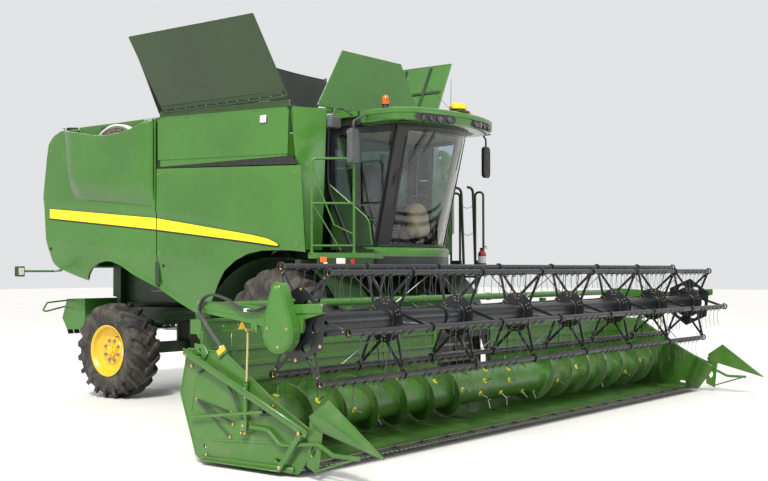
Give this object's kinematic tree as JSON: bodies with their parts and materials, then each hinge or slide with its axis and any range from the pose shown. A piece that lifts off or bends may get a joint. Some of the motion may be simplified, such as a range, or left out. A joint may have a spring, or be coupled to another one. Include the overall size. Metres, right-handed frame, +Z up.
{
  "type": "combine harvester",
  "caption": "Green self-propelled combine harvester with open grain tank covers, cab, unloading auger and a wide cutting header with reel.",
  "frame": {"origin": "middle of the footprint box, on the ground", "axes": "+X operator's left, -Y forward (cutting header in front), +Z up"},
  "size_m": [9.22, 9.11, 5.1998],
  "materials": {
    "black_paint": "satin enamel",
    "black_plastic": "fine grained",
    "canvas": "coated canvas",
    "cast_engine": "rough cast",
    "chrome_rod": "polished",
    "dark_green_paint": "satin enamel",
    "green_paint": "gloss enamel",
    "grey_plastic": "satin moulded",
    "hose_rubber": "satin",
    "seat_fabric": "woven",
    "steel": "worn bright",
    "tinted_glass": "clear, light tint",
    "tyre_rubber": "matte, lugged",
    "yellow_paint": "gloss enamel"
  },
  "bodies": {
    "chassis": {"main_frame": "dark_green_paint", "body_supports": "dark_green_paint", "front_axle": "dark_green_paint", "rear_axle": "dark_green_paint", "engine_block": "cast_engine", "separator_housing": "dark_green_paint", "grain_elevator": "green_paint", "side_panels_right": "green_paint", "side_panels_left": "green_paint", "front_corner_panels": "green_paint", "rear_hood": "green_paint", "intake_scoop": "green_paint", "grain_tank": "green_paint", "rear_canvas": "canvas", "cab_shell": "green_paint", "cab_glass": "tinted_glass", "cab_roof": "green_paint", "operator_seat": "seat_fabric", "steering_column": "black_plastic", "platform_right": "green_paint", "platform_left": "green_paint", "mirrors": "grey_plastic", "unloading_riser": "green_paint", "straw_spreader": "green_paint"},
    "screen": {"rotary_screen": "steel"},
    "front_wheel_left": {"front_tyre_left": "tyre_rubber", "front_rim_left": "yellow_paint"},
    "front_wheel_right": {"front_tyre_right": "tyre_rubber", "front_rim_right": "yellow_paint"},
    "knuckle_left": {"steering_knuckle_left": "dark_green_paint"},
    "knuckle_right": {"steering_knuckle_right": "dark_green_paint"},
    "rear_wheel_left": {"rear_tyre_left": "tyre_rubber", "rear_rim_left": "yellow_paint"},
    "rear_wheel_right": {"rear_tyre_right": "tyre_rubber", "rear_rim_right": "yellow_paint"},
    "unloader": {"unloading_auger": "green_paint"},
    "cover_right": {"tank_cover_right": "green_paint"},
    "cover_left": {"tank_cover_left": "green_paint"},
    "cover_front": {"tank_cover_front": "green_paint"},
    "door": {"cab_door": "green_paint", "cab_door_glass": "tinted_glass"},
    "header": {"feeder_house": "green_paint", "header_frame": "green_paint", "header_ends": "green_paint", "cutterbar": "steel"},
    "table_auger": {"header_auger": "green_paint"},
    "arms": {"reel_arms": "green_paint", "reel_drive_hoses": "hose_rubber"},
    "reel_rotor": {"reel_tube": "black_paint", "reel_spiders": "black_paint"},
    "reel_barrels": {"reel_lift_barrels": "green_paint"},
    "reel_rods": {"reel_lift_rods": "chrome_rod"},
    "cylinder_barrels": {"lift_barrels": "black_paint"},
    "cylinder_rods": {"lift_rods": "chrome_rod"},
    "bat_1": {"reel_bat_1": "black_paint"},
    "bat_2": {"reel_bat_2": "black_paint"},
    "bat_3": {"reel_bat_3": "black_paint"},
    "bat_4": {"reel_bat_4": "black_paint"},
    "bat_5": {"reel_bat_5": "black_paint"},
    "bat_6": {"reel_bat_6": "black_paint"}
  },
  "joints": [
    {"name": "front_wheel_left_spin", "type": "hinge", "parent": "chassis", "child": "front_wheel_left", "pos_m": [1.265, -0.465, 0.95], "axis": [1, 0, 0], "continuous": true},
    {"name": "steer_left", "type": "hinge", "parent": "chassis", "child": "knuckle_left", "pos_m": [1.01, 2.845, 0.69], "axis": [0, 0, 1], "range_deg": [-22, 22]},
    {"name": "rear_wheel_left_spin", "type": "hinge", "parent": "knuckle_left", "child": "rear_wheel_left", "pos_m": [1.41, 2.845, 0.69], "axis": [1, 0, 0], "continuous": true},
    {"name": "front_wheel_right_spin", "type": "hinge", "parent": "chassis", "child": "front_wheel_right", "pos_m": [-1.265, -0.465, 0.95], "axis": [1, 0, 0], "continuous": true},
    {"name": "steer_right", "type": "hinge", "parent": "chassis", "child": "knuckle_right", "pos_m": [-1.01, 2.845, 0.69], "axis": [0, 0, 1], "range_deg": [-22, 22]},
    {"name": "rear_wheel_right_spin", "type": "hinge", "parent": "knuckle_right", "child": "rear_wheel_right", "pos_m": [-1.41, 2.845, 0.69], "axis": [1, 0, 0], "continuous": true},
    {"name": "feeder_lift", "type": "hinge", "parent": "chassis", "child": "header", "pos_m": [0, -0.515, 1.76], "axis": [-1, 0, 0], "range_deg": [0, 12]},
    {"name": "header_auger_spin", "type": "hinge", "parent": "header", "child": "table_auger", "pos_m": [0, -2.675, 0.43], "axis": [1, 0, 0], "continuous": true},
    {"name": "reel_lift", "type": "hinge", "parent": "header", "child": "arms", "pos_m": [0, -2.195, 1.5], "axis": [-1, 0, 0], "range_deg": [0, 16]},
    {"name": "reel_spin", "type": "hinge", "parent": "arms", "child": "reel_rotor", "pos_m": [0, -3.465, 1.36], "axis": [1, 0, 0], "continuous": true},
    {"name": "bat_1_feather", "type": "hinge", "parent": "reel_rotor", "child": "bat_1", "pos_m": [0, -4.04223, 1.3034], "axis": [1, 0, 0], "continuous": true},
    {"name": "bat_2_feather", "type": "hinge", "parent": "reel_rotor", "child": "bat_2", "pos_m": [0, -3.80263, 1.8316], "axis": [1, 0, 0], "continuous": true},
    {"name": "bat_3_feather", "type": "hinge", "parent": "reel_rotor", "child": "bat_3", "pos_m": [0, -3.2254, 1.8882], "axis": [1, 0, 0], "continuous": true},
    {"name": "bat_4_feather", "type": "hinge", "parent": "reel_rotor", "child": "bat_4", "pos_m": [0, -2.88777, 1.4166], "axis": [1, 0, 0], "continuous": true},
    {"name": "bat_5_feather", "type": "hinge", "parent": "reel_rotor", "child": "bat_5", "pos_m": [0, -3.12737, 0.8884], "axis": [1, 0, 0], "continuous": true},
    {"name": "bat_6_feather", "type": "hinge", "parent": "reel_rotor", "child": "bat_6", "pos_m": [0, -3.7046, 0.8318], "axis": [1, 0, 0], "continuous": true},
    {"name": "lift_barrel_swing", "type": "hinge", "parent": "chassis", "child": "cylinder_barrels", "pos_m": [0, -0.625, 0.69], "axis": [1, 0, 0], "range_deg": [-14.51, 0]},
    {"name": "lift_rod_slide", "type": "slide", "parent": "cylinder_barrels", "child": "cylinder_rods", "axis": [0, -0.9614, -0.2752], "range_m": [0, 0.22187]},
    {"name": "reel_barrel_swing", "type": "hinge", "parent": "header", "child": "reel_barrels", "pos_m": [0, -2.935, 0.42], "axis": [1, 0, 0], "range_deg": [0, 0.9142]},
    {"name": "reel_rod_slide", "type": "slide", "parent": "reel_barrels", "child": "reel_rods", "axis": [0, -0.034, 0.9994], "range_m": [0, 0.22518]},
    {"name": "unloading_swing", "type": "hinge", "parent": "chassis", "child": "unloader", "pos_m": [1.845, -0.65, 3.055], "axis": [0, 0, -1], "range_deg": [0, 100]},
    {"name": "tank_cover_right_fold", "type": "hinge", "parent": "chassis", "child": "cover_right", "pos_m": [-1.6, 0.435, 4.03], "axis": [0, 1, 0], "range_deg": [0, 108]},
    {"name": "tank_cover_left_fold", "type": "hinge", "parent": "chassis", "child": "cover_left", "pos_m": [1.6, 0.435, 4.03], "axis": [0, -1, 0], "range_deg": [0, 108]},
    {"name": "tank_cover_front_fold", "type": "hinge", "parent": "chassis", "child": "cover_front", "pos_m": [0, -0.795, 3.978], "axis": [-1, 0, 0], "range_deg": [0, 84]},
    {"name": "cab_door_swing", "type": "hinge", "parent": "chassis", "child": "door", "pos_m": [0.958, -0.845, 2.9], "axis": [0, 0, 1], "range_deg": [0, 70]},
    {"name": "rotary_screen_spin", "type": "hinge", "parent": "chassis", "child": "screen", "pos_m": [-1.4, 2.895, 3.37], "axis": [1, 0, 0], "continuous": true}
  ],
  "couplings": [
    {"joint": "steer_right", "follows": "steer_left", "ratio": 1},
    {"joint": "bat_1_feather", "follows": "reel_spin", "ratio": -1},
    {"joint": "bat_2_feather", "follows": "reel_spin", "ratio": -1},
    {"joint": "bat_3_feather", "follows": "reel_spin", "ratio": -1},
    {"joint": "bat_4_feather", "follows": "reel_spin", "ratio": -1},
    {"joint": "bat_5_feather", "follows": "reel_spin", "ratio": -1},
    {"joint": "bat_6_feather", "follows": "reel_spin", "ratio": -1},
    {"joint": "lift_barrel_swing", "follows": "feeder_lift", "ratio": -1.1856},
    {"joint": "lift_rod_slide", "follows": "feeder_lift", "m_per_rad": 1.0386},
    {"joint": "reel_barrel_swing", "follows": "reel_lift", "ratio": 0.05602},
    {"joint": "reel_rod_slide", "follows": "reel_lift", "m_per_rad": 0.79054}
  ]
}
